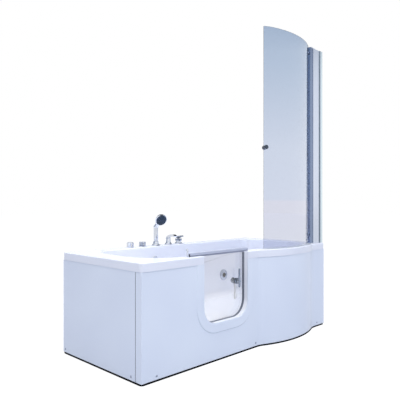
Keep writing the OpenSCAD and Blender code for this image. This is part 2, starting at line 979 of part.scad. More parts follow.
module waste_trap() {
  color("white")
    place()
      translate([waste_x, bath_w / 2, trap_z])
        difference() {
          union() {
            translate([0, 0, -trap_h])
              cylinder(r = 40, h = trap_h, $fn = fine);
            translate([0, 0, -outlet_drop])
              rotate([-90, 0, 0]) {
                cylinder(r = outlet_r + 4, h = 52, $fn = 64);
                cylinder(r = outlet_r, h = outlet_l, $fn = 64);
              }
            translate([0, 0, -8])
              cylinder(r = 31, h = 32, $fn = fine);
          }
          translate([0, 0, 4 - trap_h])
            cylinder(r = 36, h = trap_h - 12, $fn = fine);
          translate([0, 0, -12])
            cylinder(r = 19, h = 50, $fn = fine);
          translate([0, 0, -rest])
            cylinder(r = 22 + rest, h = 50, $fn = fine);
          translate([0, 20, -outlet_drop])
            rotate([-90, 0, 0])
              cylinder(r = outlet_r - 3, h = outlet_l, $fn = 64);
        }
}

module waste_plug() {
  z = floor_z + 1;
  color("silver")
    place()
      translate([waste_x, bath_w / 2, 0])
        rotate_extrude($fn = fine)
          polygon([
            [0, z - 40], [4, z - 40], [4, z - 3], [17, z - 2], [24, z + 0.5],
            [24, z + 2], [18, z + 4.5], [0, z + 6]
          ]);
}

module overflow_plate() {
  color("silver")
    place()
      on_back_wall(waste_x, overflow_z)
        difference() {
          rotate_extrude($fn = fine)
            polygon([
              [7 + play, -3], [18, -3], [18, -16], [22, -16], [22, rest], [36, rest],
              [36, 3], [31, 8], [27, 8], [27, 3], [7 + play, 3]
            ]);
          for (a = [0:60:300])
            rotate(a)
              translate([12.5, 0, -10])
                cylinder(r = 3.4, h = 20, $fn = 32);
        }
}

module overflow_pipe() {
  pipe_y = basin_y1 + 16;
  pipe_x = waste_x + 75;
  run_y = bath_w / 2;
  z = floor_z - 39;
  r = 11;
  color("whitesmoke")
    place() {
      on_back_wall(waste_x, overflow_z)
        difference() {
          union() {
            translate([0, 0, -shell_t - 14])
              cylinder(r = 34, h = 14 - rest, $fn = 64);
            translate([0, 0, -shell_t - 24])
              cylinder(r = 25, h = 14, $fn = 64);
          }
          translate([0, 0, -shell_t - 21])
            cylinder(r = 22 + rest, h = 40, $fn = 64);
        }
      translate([waste_x + 22, pipe_y, overflow_z - 4])
        rotate([0, 90, 0])
          cylinder(r = r - 2, h = pipe_x - waste_x - 22, $fn = 48);
      translate([pipe_x, pipe_y, z - r - 2])
        cylinder(r = r, h = overflow_z + 8 - z + r, $fn = 48);
      translate([pipe_x, run_y, z])
        rotate([-90, 0, 0])
          cylinder(r = r - 1, h = pipe_y - run_y, $fn = 48);
      translate([pipe_x, run_y, z - r - 2])
        cylinder(r = r, h = 2 * r + 4, $fn = 48);
      translate([waste_x + 31 + rest, run_y, z])
        rotate([0, 90, 0])
          cylinder(r = r - 1, h = pipe_x - waste_x - 31, $fn = 48);
    }
}

module overflow_knob() {
  color("silver")
    place()
      on_back_wall(waste_x, overflow_z)
        difference() {
          union() {
            translate([0, 0, 9])
              cylinder(r = 24, h = 10, $fn = fine);
            translate([0, 0, -7])
              cylinder(r = 7, h = 18, $fn = 48);
            translate([-3.5, -22, 17])
              cube([7, 44, 7]);
          }
          for (a = [30:60:330])
            rotate(a)
              translate([26, 0, 4])
                cylinder(r = 4, h = 30, $fn = 32);
        }
}

// Jets

module jet_ring() {
  difference() {
    rotate_extrude($fn = fine)
      polygon([
        [neck_r - 4, -shell_t - 14], [neck_r, -shell_t - 14], [neck_r, 0], [neck_r, rest],
        [jet_d / 2, rest], [jet_d / 2, 3], [jet_d / 2 - 4, 5],
        [jet_d / 2 - 12, 6], [neck_r + 6, 9], [neck_r - 2, 9], [neck_r - 4, 6]
      ]);
    translate([0, 0, ball_z])
      sphere(ball_r + gap, $fn = fine);
  }
}

module jet_rings() {
  color("silver")
    place()
      for (i = [0:4])
        at_jet(i)
          jet_ring();
}

module jet_body() {
  difference() {
    union() {
      translate([0, 0, -shell_t - 8])
        cylinder(r = 32, h = 8 - rest, $fn = 64);
      translate([0, 0, -shell_t - 38])
        cylinder(r = 26, h = 32, $fn = 64);
      translate([0, 0, -stub_d])
        rotate([-90, 0, 0])
          cylinder(r = 11, h = stub_h, $fn = 48);
      translate([0, 0, -stub_d])
        rotate([90, 0, 0])
          cylinder(r = 8, h = stub_h, $fn = 48);
    }
    translate([0, 0, -shell_t - 24])
      cylinder(r = neck_r + rest, h = 40, $fn = 64);
  }
}

module jet_bodies() {
  color("whitesmoke")
    place()
      for (i = [0:4])
        at_jet(i)
          jet_body();
}

module jet_ball(i) {
  color("#33363c")
    place()
      at_jet(i)
        translate([0, 0, ball_z])
          difference() {
            intersection() {
              sphere(ball_r, $fn = fine);
              translate([0, 0, -6])
                cylinder(r = ball_r + cut, h = 2 * ball_r, $fn = fine);
            }
            translate([0, 0, -ball_r])
              cylinder(r = 5.5, h = 3 * ball_r, $fn = 48);
            translate([0, 0, ball_r - 4])
              cylinder(r1 = 5.5, r2 = 11, h = 5, $fn = 48);
          }
}

module jet_ball_1() {
  jet_ball(0);
}

module jet_ball_2() {
  jet_ball(1);
}

module jet_ball_3() {
  jet_ball(2);
}

module jet_ball_4() {
  jet_ball(3);
}

module jet_ball_5() {
  jet_ball(4);
}

module suction_cover() {
  color("silver")
    place()
      on_back_wall(suction_x, suction_z)
        difference() {
          rotate_extrude($fn = fine)
            polygon([
              [0, 7], [0, 11], [suction_r - 12, 9], [suction_r, 4], [suction_r, rest],
              [neck_r + 4, rest], [neck_r + 4, -shell_t - 16], [neck_r, -shell_t - 16],
              [neck_r, 4]
            ]);
          for (ring = [[8, 6], [15, 12]])
            for (i = [0:ring[1] - 1])
              rotate(i * 360 / ring[1])
                translate([ring[0], 0, 0])
                  cylinder(r = 2.2, h = 20, $fn = 24);
        }
}

module jet_pump() {
  motor_l = pump_l - 76;
  color("#2b3340")
    place() {
      translate([pump_x, pump_y, pump_z])
        rotate([-90, 0, 0])
          rotate_extrude($fn = fine)
            polygon([
              [0, 0], [pump_r - 12, 0], [pump_r, 8], [pump_r, motor_l], [pump_r - 6, motor_l + 4],
              [pump_r + 10, motor_l + 8], [pump_r + 10, motor_l + 38], [pump_r, motor_l + 48],
              [22, motor_l + 52], [22, pump_l], [0, pump_l]
            ]);
      for (a = [-60:20:60])
        translate([pump_x, pump_y + 20, pump_z])
          rotate([0, a, 0])
            translate([-1.5, 0, pump_r - 2])
              cube([3, motor_l - 34, 8]);
      translate([pump_x, outlet_y, pump_z])
        cylinder(r = 19, h = outlet_z - pump_z, $fn = 48);
      translate([pump_x - 45, pump_y + 20, frame_z + tube + rest])
        cube([90, motor_l - 20, pump_z - pump_r - frame_z - tube + 6]);
      translate([pump_x - 30, pump_y + 40, pump_z + pump_r - 12])
        cube([60, 60, 30]);
    }
}

// A pipe from point a to point b along one axis
module pipe(a, b, r) {
  d = b - a;
  translate(a)
    rotate(d[0] != 0 ? [0, 90 * sign(d[0]), 0] : d[1] != 0 ? [-90 * sign(d[1]), 0, 0] : [0, 0, 0])
      cylinder(r = r, h = norm(d), $fn = 48);
}

// A round socket that joins pipes at a corner
module socket(p, r) {
  translate([p[0], p[1], p[2] - r - 2])
    cylinder(r = r + 2.5, h = 2 * r + 4, $fn = 48);
}

// The suction fitting's body and its pipe down to the pump
module suction_pipe() {
  r = 14;
  y = basin_y1 + 18;
  a = [pump_x, pump_y + pump_l + rest, pump_z];
  b = [pump_x, y, pump_z];
  c = [suction_x, y, pump_z];
  color("white")
    place() {
      on_back_wall(suction_x, suction_z)
        difference() {
          translate([0, 0, -shell_t - 36])
            cylinder(r = 30, h = 36 - rest, $fn = 64);
          translate([0, 0, -shell_t - 24])
            cylinder(r = neck_r + 4 + rest, h = 40, $fn = 64);
        }
      pipe(a, b, r);
      socket(b, r);
      pipe(b, c, r);
      socket(c, r);
      pipe(c, [c[0], c[1], suction_z - 26], r);
    }
}

// The pressure pipe from the pump to the jets
module water_pipes() {
  r = 14;
  a = [pump_x, outlet_y, outlet_z + rest];
  b = [pump_x, outlet_y, water_z];
  c = [pump_x, manifold_y, water_z];
  d = [manifold_x, manifold_y, water_z];
  color("white")
    place() {
      pipe(a, b, r);
      socket(b, r);
      pipe(b, c, r);
      translate([c[0], c[1], c[2] - r - 2])
        cylinder(r = r + 1, h = 2 * r + 4, $fn = 48);
      pipe(c, d, r);
      translate([d[0], d[1], d[2] - r - 2])
        cylinder(r = r + 1, h = 2 * r + 4, $fn = 48);
      pipe(d, [d[0], jet_end[0] - 20, d[2]], r);
      for (x = jet_back) {
        pipe([x, stub_y, jet_z + stub_h], [x, stub_y, water_z + 10], 9);
        pipe([x, stub_y, water_z], [x, manifold_y, water_z], 8);
      }
      for (y = jet_end)
        pipe([stub_x, y, jet_z + stub_h], [stub_x, y, water_z], 9);
    }
}

module air_pipes() {
  r = 7;
  a = [jet_back[0] - 40, manifold_y, air_z];
  b = [manifold_x, manifold_y, air_z];
  color("#d8dde6")
    place() {
      pipe(a, b, r);
      socket(b, r);
      pipe(b, [b[0], jet_end[0] - 20, b[2]], r);
      for (x = jet_back) {
        pipe([x, stub_y, air_z - 7], [x, stub_y, jet_z - stub_h - 2], 6);
        pipe([x, stub_y, air_z], [x, manifold_y, air_z], 5);
      }
      for (y = jet_end)
        pipe([stub_x, y, air_z], [stub_x, y, jet_z - stub_h - 2], 6);
    }
}

// Deck fittings along the back rim

module at_deck(x) {
  translate([x, deck_y, bath_h + rest])
    children();
}

module tail(length) {
  translate([0, 0, -length])
    cylinder(r = tail_r, h = length + cut, $fn = 48);
}

module button_ring() {
  color("silver")
    place()
      at_deck(button_x)
        difference() {
          union() {
            rotate_extrude($fn = fine)
              polygon([[0, 0], [25, 0], [25, 2], [23, 3], [23, 28], [21, 30], [0, 30]]);
            tail(60);
          }
          translate([0, 0, 12])
            cylinder(r = 18 + play, h = 30, $fn = fine);
        }
}

module air_button() {
  color("lightsteelblue")
    place()
      at_deck(button_x)
        translate([0, 0, 17])
          rotate_extrude($fn = fine)
            polygon([[0, 0], [18, 0], [18, 14], [16, 17], [0, 18]]);
}

module diverter_base() {
  color("silver")
    place()
      at_deck(diverter_x) {
        rotate_extrude($fn = fine)
          polygon([[0, 0], [24, 0], [24, 3], [20, 5], [0, 5]]);
        cylinder(r = 7, h = 18, $fn = 48);
        tail(60);
      }
}

module diverter_knob() {
  flutes = 12;
  color("silver")
    place()
      at_deck(diverter_x)
        difference() {
          rotate_extrude($fn = fine)
            polygon([
              [7 + play, 5 + gap], [21, 5 + gap], [22.5, 8], [22.5, 27], [20, 30],
              [0, 31], [0, 18 + gap], [7 + play, 18 + gap]
            ]);
          for (i = [0:flutes - 1])
            rotate(i * 360 / flutes)
              translate([24.5, 0, 9])
                cylinder(r = 3.6, h = 30, $fn = 32);
        }
}

module shower_holder() {
  color("silver")
    place()
      at_deck(shower_x)
        difference() {
          union() {
            rotate_extrude($fn = fine)
              polygon([
                [0, 0], [29, 0], [29, 2], [24, 5], [20, 12], [19, holder_h], [0, holder_h]
              ]);
            tail(60);
          }
          translate([0, 0, 6])
            cylinder(r = 13 + play, h = 40, $fn = fine);
          translate([0, 0, -70])
            cylinder(r = 8, h = 90, $fn = 48);
        }
}

// Turns the shower head's face, drawn looking up, to look over the basin
module at_head() {
  at_deck(shower_x)
    rotate([0, 0, neck_turn])
      translate([0, -head_out, head_up])
        rotate([90 + head_tilt, 0, head_turn - neck_turn])
          children();
}

module hand_shower() {
  neck_d = [0, 6 - head_out, head_up - 4 - neck_z];
  color("silver")
    place()
      difference() {
        union() {
          at_deck(shower_x)
            rotate_extrude($fn = fine)
              polygon([
                [0, 8], [13, 8], [13, holder_h + gap], [15, holder_h + gap + 1],
                [15.5, holder_h + 24], [15.5, neck_z], [0, neck_z]
              ]);
          at_deck(shower_x)
            rotate([0, 0, neck_turn])
              translate([0, 0, neck_z]) {
                sphere(17, $fn = fine);
                rotate([atan2(-neck_d[1], neck_d[2]), 0, 0])
                  cylinder(r1 = 15.5, r2 = 14, h = norm(neck_d), $fn = fine);
              }
          at_head()
            rotate_extrude($fn = fine)
              polygon([
                [0, -26], [14, -25], [28, -19], [38, -9], [42, 2], [42, 6],
                [face_d / 2 + 1, 9], [0, 9]
              ]);
        }
        at_head()
          translate([0, 0, 4])
            cylinder(r = face_d / 2 + rest, h = 40, $fn = fine);
      }
}

module shower_face() {
  rings = [[9, 6], [17, 12], [25, 18]];
  color("#22344a")
    place()
      at_head()
        difference() {
          rotate_extrude($fn = fine)
            polygon([
              [0, 4 + rest], [face_d / 2, 4 + rest], [face_d / 2, 9],
              [face_d / 2 - 3, 11], [0, 12]
            ]);
          for (ring = rings)
            for (i = [0:ring[1] - 1])
              rotate(i * 360 / ring[1])
                translate([ring[0], 0, 10])
                  cylinder(r = 1.1, h = 5, $fn = 16);
        }
}

module spout() {
  color("silver")
    place()
      at_deck(spout_x)
        difference() {
          union() {
            rotate_extrude($fn = fine)
              polygon([
                [0, 0], [26, 0], [26, 3], [21, 7], [17, 18], [16, 38], [14, spout_h], [0, spout_h]
              ]);
            translate([0, 0, spout_h - 10])
              rotate([90, 0, -90])
                rotate([0, 0, 20])
                  spout_arm();
            tail(60);
          }
          translate([0, 0, -70])
            cylinder(r = 8, h = 90, $fn = 48);
        }
}

// The flat arched arm, drawn along +X
module spout_arm() {
  far = spout_reach - 14;
  linear_extrude(2 * spout_r, center = true)
    polygon([
      [-14, 6], [-4, 16], [14, 21], [far * 0.6, 19], [far, 8], [far + 12, -6], [far + 2, -12],
      [far - 8, -2], [far * 0.6, 5], [14, 4], [0, -8]
    ]);
}

module mixer_body() {
  color("silver")
    place()
      at_deck(mixer_x) {
        rotate_extrude($fn = fine)
          polygon([[0, 0], [28, 0], [28, 3], [23, 6], [21, 10], [21, 20], [0, 20]]);
        cylinder(r = 9, h = 27, $fn = 48);
        tail(60);
        for (s = [-1, 1])
          translate([s * 6, 0, -inlet_l])
            cylinder(r = 5, h = inlet_l, $fn = 32);
      }
}

module mixer_cap() {
  color("silver")
    place()
      at_deck(mixer_x) {
        rotate_extrude($fn = fine)
          polygon([
            [9 + play, 20 + gap], [23, 20 + gap], [24, 23], [24, 33], [23, 34], [8, 34], [8, 44],
            [0, 44], [0, 27 + gap], [9 + play, 27 + gap]
          ]);
        translate([0, 0, axle_z])
          rotate([90, 0, lever_turn])
            cylinder(r = 2.5, h = 36, center = true, $fn = 32);
      }
}

// The lever's dome tips about an axle across the cap

module mixer_lever() {
  color("silver")
    place()
      at_deck(mixer_x)
        difference() {
          union() {
            rotate_extrude($fn = fine)
              polygon([[0, 39], [15, 39], [22, 43], [22, 49], [18, 53], [0, 54]]);
            rotate([0, 0, lever_turn])
              translate([0, 0, 47])
                rotate([0, 82, 0])
                  cylinder(r1 = 6.5, r2 = 5, h = 36, $fn = 32);
          }
          translate([0, 0, 30])
            cylinder(r = 10.5, h = 16.5, $fn = 48);
          translate([0, 0, axle_z])
            rotate([90, 0, lever_turn])
              cylinder(r = 2.5 + play, h = 60, center = true, $fn = 32);
        }
}

module deck_nuts() {
  color("goldenrod")
    place()
      for (x = [button_x, diverter_x, shower_x, spout_x, mixer_x])
        translate([x, deck_y, under_z - 9])
          difference() {
            cylinder(r = nut_r, h = 9 - rest, $fn = 6);
            translate([0, 0, -cut])
              cylinder(r = tail_r + play, h = 20, $fn = 48);
          }
}

// Shower screen

module wall_channel() {
  y0 = profile_y - channel_d / 2;
  color("lightblue")
    place()
      difference() {
        translate([channel_x, y0, bath_h + rest])
          cube([channel_w, channel_d, post_top - bath_h - rest]);
        translate([channel_x - cut, y0 + 2, bath_h - cut])
          cube([channel_w - 2, channel_d - 4, post_top]);
        for (z = channel_screws)
          translate([bath_l - 10, profile_y, z])
            rotate([0, 90, 0])
              cylinder(r = 2.5, h = 20, $fn = 32);
      }
}

module fixed_profile() {
  d = channel_d - 4 - 2 * gap;
  color("lightsteelblue")
    place()
      difference() {
        translate([fixed_x, profile_y - d / 2, bath_h + rest])
          cube([channel_x + channel_w - 6 - fixed_x, d, post_top - bath_h - rest]);
        translate([fixed_x + 8, profile_y - d / 2 + 2, bath_h - cut])
          cube([fixed_w, d - 4, post_top]);
      }
}

module profile_cover() {
  d = channel_d - 4 - 2 * gap;
  color("#2a3138")
    place()
      difference() {
        translate([channel_x - 16, profile_y - d / 2 - 1.6, bath_h + rest])
          cube([16 - gap, d + 3.2, post_top - bath_h - rest]);
        translate([channel_x - 16 - cut, profile_y - d / 2 - rest, bath_h - cut])
          cube([20, d + 2 * rest, post_top]);
      }
}

// Top and bottom arms on the fixed profile, with the pins that the screen turns on
module pivot_brackets() {
  color("silver")
    place() {
      translate([pivot_x, profile_y, post_top + rest]) {
        cylinder(r = pivot_d / 2, h = bracket_h, $fn = fine);
        translate([0, -8, 0])
          cube([fixed_x + 30 - pivot_x, 16, bracket_h]);
        translate([0, 0, -24])
          cylinder(r = pin_r, h = 24 + cut, $fn = 48);
      }
      translate([pivot_x, profile_y, bath_h + rest]) {
        cylinder(r = pivot_d / 2, h = 4, $fn = fine);
        cylinder(r = pin_r, h = 30, $fn = 48);
      }
    }
}

module pivot_profile() {
  z0 = bath_h + 4 + rest + gap;
  color("slategray")
    place()
      difference() {
        translate([0, 0, z0])
          linear_extrude(post_top - gap - z0)
            difference() {
              union() {
                translate([pivot_x, profile_y])
                  circle(pivot_d / 2, $fn = fine);
                translate([pivot_left, profile_y - pivot_d / 2])
                  square([pivot_x - pivot_left, pivot_d]);
              }
              screen_area(-rest, screen_t + rest);
            }
        translate([pivot_x, profile_y, 0])
          cylinder(r = pin_r + play, h = screen_top + 10, $fn = 48);
      }
}

// Part of a ring about c between two angles, t0 to t1 inside radius r
module ring_part(c, r, t0, t1, a0, a1) {
  far = 2 * r;
  am = (a0 + a1) / 2;
  intersection() {
    translate(c)
      difference() {
        circle(r - t0, $fn = huge_fn);
        circle(r - t1, $fn = huge_fn);
      }
    polygon([c, c + far * [cos(a0), sin(a0)], c + far * [cos(am), sin(am)], c + far * [cos(a1), sin(a1)]]);
  }
}

// The screen's outline in plan: the main curve and the tighter one at its free edge
module screen_area(t0, t1) {
  ring_part(screen_c, screen_r, t0, t1, 270 - screen_a, 270 + hinge_a);
  ring_part(end_c, screen_end_r, t0, t1, 270 - end_a, 270 - screen_a);
}

module screen_glass() {
  color("#b8cfe0", 0.4)
    place()
      difference() {
        translate([0, 0, screen_z])
          linear_extrude(screen_h)
            screen_area(0, screen_t);
        for (z = bolt_z)
          at_bolt(z)
            translate([0, 0, -screen_t - cut])
              cylinder(r = bolt_r + play, h = screen_t + 2 * cut, $fn = 32);
      }
}

// A frame on the outside of the glass beside the pivot profile, +Z pointing out of the bath
module at_bolt(z) {
  translate([screen_c[0], screen_c[1], z])
    rotate([0, 0, bolt_a])
      translate([screen_r, 0, 0])
        rotate([0, 90, 0])
          children();
}

module screen_bolts() {
  color("dimgray")
    place()
      for (z = bolt_z)
        at_bolt(z) {
          translate([0, 0, rest])
            cylinder(r1 = 8, r2 = 7, h = 5, $fn = 48);
          translate([0, 0, -screen_t - rest - 4])
            cylinder(r = 7, h = 4, $fn = 48);
          translate([0, 0, -screen_t - 1])
            cylinder(r = bolt_r, h = screen_t + 2, $fn = 32);
        }
}

module screen_seal() {
  color("#cdd6de")
    place()
      translate([0, 0, bath_h + gap])
        linear_extrude(screen_gap - 2 * gap)
          screen_area(1, screen_t - 1);
}

module knob_half() {
  rotate_extrude($fn = fine)
    polygon([[0, 0], [8, 0], [8, 6], [13, 12], [14, 20], [11, 24], [0, 25]]);
}

module screen_knobs() {
  color("silver")
    place()
      translate([end_c[0], end_c[1], screen_knob_z])
        rotate([0, 0, knob_a])
          translate([screen_end_r, 0, 0])
            rotate([0, 90, 0]) {
              translate([0, 0, rest])
                knob_half();
              translate([0, 0, -screen_t - rest])
                mirror([0, 0, 1])
                  knob_half();
            }
}

tub_shell();
front_panel();
end_panel();
base_strip();
panel_screws();
panel_blocks();
base_board();
steel_frame();
foot_studs();
foot_pads();
door_seal();
hinge_rod();
hinge_brackets();
latch_keep();
door_glass();
door_top_rail();
rail_gasket();
hinge_clamps();
hinge_screws();
latch_rose();
latch_spindle();
latch_lever();
latch_knob();
waste_flange();
waste_trap();
waste_plug();
overflow_plate();
overflow_pipe();
overflow_knob();
jet_rings();
jet_bodies();
jet_ball_1();
jet_ball_2();
jet_ball_3();
jet_ball_4();
jet_ball_5();
suction_cover();
jet_pump();
suction_pipe();
water_pipes();
air_pipes();
button_ring();
air_button();
diverter_base();
diverter_knob();
shower_holder();
hand_shower();
shower_face();
spout();
mixer_body();
mixer_cap();
mixer_lever();
deck_nuts();
wall_channel();
fixed_profile();
profile_cover();
pivot_brackets();
pivot_profile();
screen_glass();
screen_bolts();
screen_seal();
screen_knobs();
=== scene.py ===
import math

import bpy
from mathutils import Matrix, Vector


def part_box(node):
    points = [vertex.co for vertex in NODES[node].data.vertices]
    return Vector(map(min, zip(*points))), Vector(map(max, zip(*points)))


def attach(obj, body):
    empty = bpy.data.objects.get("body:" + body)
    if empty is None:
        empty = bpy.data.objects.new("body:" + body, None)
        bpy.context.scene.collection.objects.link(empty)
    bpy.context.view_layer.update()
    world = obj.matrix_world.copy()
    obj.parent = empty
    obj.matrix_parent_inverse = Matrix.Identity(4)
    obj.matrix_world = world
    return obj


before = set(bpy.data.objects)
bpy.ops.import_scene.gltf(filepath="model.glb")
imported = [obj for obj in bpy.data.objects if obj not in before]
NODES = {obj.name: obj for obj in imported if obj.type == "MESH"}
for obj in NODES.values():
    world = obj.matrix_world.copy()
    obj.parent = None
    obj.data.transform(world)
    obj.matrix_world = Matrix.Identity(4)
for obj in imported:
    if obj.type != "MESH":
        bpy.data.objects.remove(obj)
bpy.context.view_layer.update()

bl_info = {
    "name": "Walk-in shower bath",
    "version": (1, 0, 0),
    "blender": (4, 5, 0),
    "location": "View3D > Sidebar > Bath",
    "description": "Dresses the frame of a walk-in shower bath and sets it in a pale studio",
    "category": "Object",
}

MM = 0.001

# The levels of a cloudy pattern that count as its hollows and its crests
HOLLOW, CREST = 0.3, 0.7
# Edges sharper than this are rounded and split, in degrees
SHARP = 35.0
SHARP_ACRYLIC = 30.0
# Points closer than this are welded
WELD = 0.01 * MM
# Rounding of the other parts' edges, from thin trim to thick bars, in millimetres
FINE, NUT, SMALL, BROAD, HEAVY = 0.3, 0.4, 0.5, 0.6, 0.8
JETS = 5

# The rubber bead between the panels: how far its face and back lie in from the end panel's face,
# its crown, the gap on either side of it and the degrees between its points
BEAD_FACE, BEAD_BACK, BEAD_CROWN, BEAD_GAP = 1.4 * MM, 3.6 * MM, 0.7 * MM, 0.1 * MM
BEAD_STEP = 15

# The panes' tints from foot to head, graded darker towards the head: on the door pane this is
# painted shade, on the screen a painted reflection, and the screen's step near the foot paints the
# rim seen through the glass
DOOR_TINT_AND_PAINTED_SHADE = ((0.0, "#FDFAF2"), (1.0, "#F3EFE8"))
SCREEN_TINT_AND_PAINTED_REFLECTION = (
    (0.0, "#D6D9E4"), (0.21, "#D6D8E7"), (0.22, "#CED6E8"),
    (0.45, "#CBD4E6"), (0.85, "#AFBFD6"), (1.0, "#A8B9D1"),
)
# Finishes that several pieces share
# chrome drawn darker than the other chrome, painted shade standing in for darker reflections on the
# latch and the mixer's cap and lever
CHROME_WITH_PAINTED_SHADE = ("dark chrome", "#A0A9B8", "#7C8697")
CHROMED_PLASTIC = ("chromed plastic", "#D3D8E1", "#B6BDCA")
PRESSURE_PIPE = ("white pressure pipe", "#E8EAEC", "#DDE0E4", 0.32)
# The materials that are made already
MADE = {}

# What mirrors show of the studio: bands of tone from below the floor line to the ceiling,
# the side that is bright and the tones round to the dark one, and a dark flag's place and tones
BAND_FOOT, BAND_HEAD = -0.1, 1.0
BANDS = (
    (0.0, "#FAFBFE"), (0.36, "#F2F5FB"), (0.4, "#5B6880"), (0.45, "#0E141F"),
    (0.5, "#A7B3C8"), (0.56, "#F2F5FB"), (0.85, "#FFFFFF"),
)
BRIGHT_SIDE = (0.8, -0.6, 0.0)
WALLS = ((0.0, "#7C89A1"), (0.04, "#A9B5C9"), (0.12, "#F4F6FA"), (1.0, "#FFFFFF"))
FLAG_PLACE = (0.5, 0.5, 0.7)
FLAG = (
    (0.0, "#7C89A1"), (0.03, "#FFFFFF"), (0.905, "#FFFFFF"), (0.93, "#2A3345"), (1.0, "#0A0F18"),
)
WHITE = "#FFFFFF"
# The even light of the room
ROOM_TINT, ROOM_LIGHT = "#EBEEF9", 0.85
# The floor's paint, its reach in metres, how white it looks to the camera and in mirrors,
# and the strength of that white
FLOOR_PAINT, FLOOR_REACH = "#A2A7B1", 30.0
FLOOR_SEEN, FLOOR_MIRRORED, FLOOR_WHITE = 0.72, 0.5, 1.3
# Name, place, aim, size in metres, power in watts and tint of each soft box
SOFT_BOXES = (
    ("top box", (-0.3, -0.4, 4.2), (0, 0, 0.5), 3.5, 116, "#FFFFFF"),
    ("left box", (-3.3, -2.0, 2.6), (0, 0, 0.7), 2.2, 37, "#FFF9F5"),
    ("right box", (1.3, -2.9, 2.7), (0.2, 0, 0.8), 2.2, 25, "#F4F6FF"),
)


# Colours and nodes

def linear(code):
    """Turns an sRGB hex colour into a linear one."""
    parts = [int(code[i:i + 2], 16) / 255 for i in (1, 3, 5)]
    return tuple(
        p / 12.92 if p <= 0.04045 else ((p + 0.055) / 1.055) ** 2.4 for p in parts
    ) + (1.0,)


def add_node(tree, kind, settings=None, inputs=None, stops=()):
    """Adds a node with its settings, input values, links and colour stops."""
    item = tree.nodes.new(kind)
    for key, value in (settings or {}).items():
        setattr(item, key, value)
    for key, value in (inputs or {}).items():
        if isinstance(value, bpy.types.NodeSocket):
            tree.links.new(value, item.inputs[key])
        else:
            item.inputs[key].default_value = value
    if stops:
        points = item.color_ramp.elements
        while len(points) < len(stops):
            points.new(0.5)
        for point, (place, code) in zip(points, stops):
            point.position = place
            point.color = linear(code) if isinstance(code, str) else code
    return item


def grain(tree, size_mm, detail=2.0, stretch=(1, 1, 1)):
    """A cloudy pattern about size_mm across, stretched along the object's axes."""
    place = add_node(tree, "ShaderNodeTexCoord").outputs["Object"]
    scaled = add_node(tree, "ShaderNodeMapping", inputs={"Vector": place, "Scale": stretch})
    return add_node(tree, "ShaderNodeTexNoise", inputs={
        "Vector": scaled.outputs["Vector"], "Scale": 1 / (size_mm * MM), "Detail": detail,
    }).outputs["Fac"]


def cells(tree, size_mm):
    """A mosaic of cells about size_mm across, each with a value of its own."""
    place = add_node(tree, "ShaderNodeTexCoord").outputs["Object"]
    mosaic = add_node(tree, "ShaderNodeTexVoronoi", inputs={
        "Vector": place, "Scale": 1 / (size_mm * MM)})
    parts = add_node(tree, "ShaderNodeSeparateColor", inputs={"Color": mosaic.outputs["Color"]})
    return parts.outputs["Red"]


def graded(tree, value, low, high, stops):
    """Colours that follow a value from low to high."""
    place = add_node(tree, "ShaderNodeMapRange", inputs={
        "Value": value, "From Min": low, "From Max": high})
    return add_node(tree, "ShaderNodeValToRGB", inputs={
        "Fac": place.outputs["Result"]}, stops=stops).outputs["Color"]


def new_material(name):
    """An empty material with a Principled shader on its output."""
    material = bpy.data.materials.new(name)
    material.use_nodes = True
    tree = material.node_tree
    tree.nodes.clear()
    shader = add_node(tree, "ShaderNodeBsdfPrincipled")
    add_node(tree, "ShaderNodeOutputMaterial", inputs={"Surface": shader.outputs["BSDF"]})
    return material, tree, shader


def finish(tree, shader, tones=(), gloss=(), relief=(), **values):
    """Sets a shader's colours, gloss, relief and even values.

    tones is a pattern and its colour stops, gloss a pattern and the roughness in its hollows and
    on its crests, and relief a pattern, its depth in millimetres and how strongly it shows.
    """
    if tones:
        pattern, *stops = tones
        shades = add_node(tree, "ShaderNodeValToRGB", inputs={"Fac": pattern}, stops=stops)
        tree.links.new(shades.outputs["Color"], shader.inputs["Base Color"])
    if gloss:
        pattern, hollow, crest = gloss
        rough = add_node(tree, "ShaderNodeMapRange", inputs={
            "Value": pattern, "From Min": HOLLOW, "From Max": CREST,
            "To Min": hollow, "To Max": crest})
        tree.links.new(rough.outputs["Result"], shader.inputs["Roughness"])
    if relief:
        pattern, depth_mm, strength = relief
        skin = add_node(tree, "ShaderNodeBump", inputs={
            "Height": pattern, "Distance": depth_mm * MM, "Strength": strength})
        tree.links.new(skin.outputs["Normal"], shader.inputs["Normal"])
    for key, value in values.items():
        shader.inputs[key.replace("_", " ")].default_value = value


# Materials

def sanitary_acrylic():
    """Cast acrylic sheet, drawn warm over a mould and backed with glass fibre."""
    material, tree, shader = new_material("sanitary acrylic")
    # the deep gloss shows faint long waves left by the mould, and a hint of blue in the white
    finish(tree, shader,
           tones=(grain(tree, 260, 1.0),
                  (0.3, finishes().acrylic), (0.7, finishes().acrylic_shade)),
           gloss=(grain(tree, 35), 0.13, 0.19),
           relief=(grain(tree, 90, 1.0), 0.25, 0.5),
           IOR=1.49)
    return material


def panel_acrylic():
    """Flat acrylic sheet, edge bent and reinforced behind."""
    material, tree, shader = new_material("acrylic panel sheet")
    # flatter than the bath itself, so reflections only sway a little along the panel
    finish(tree, shader,
           tones=(grain(tree, 400, 1.0), (0.3, finishes().panel), (0.7, finishes().panel_shade)),
           gloss=(grain(tree, 50), 0.17, 0.23),
           relief=(grain(tree, 150, 1.0), 0.2, 0.4),
           IOR=1.49)
    return material


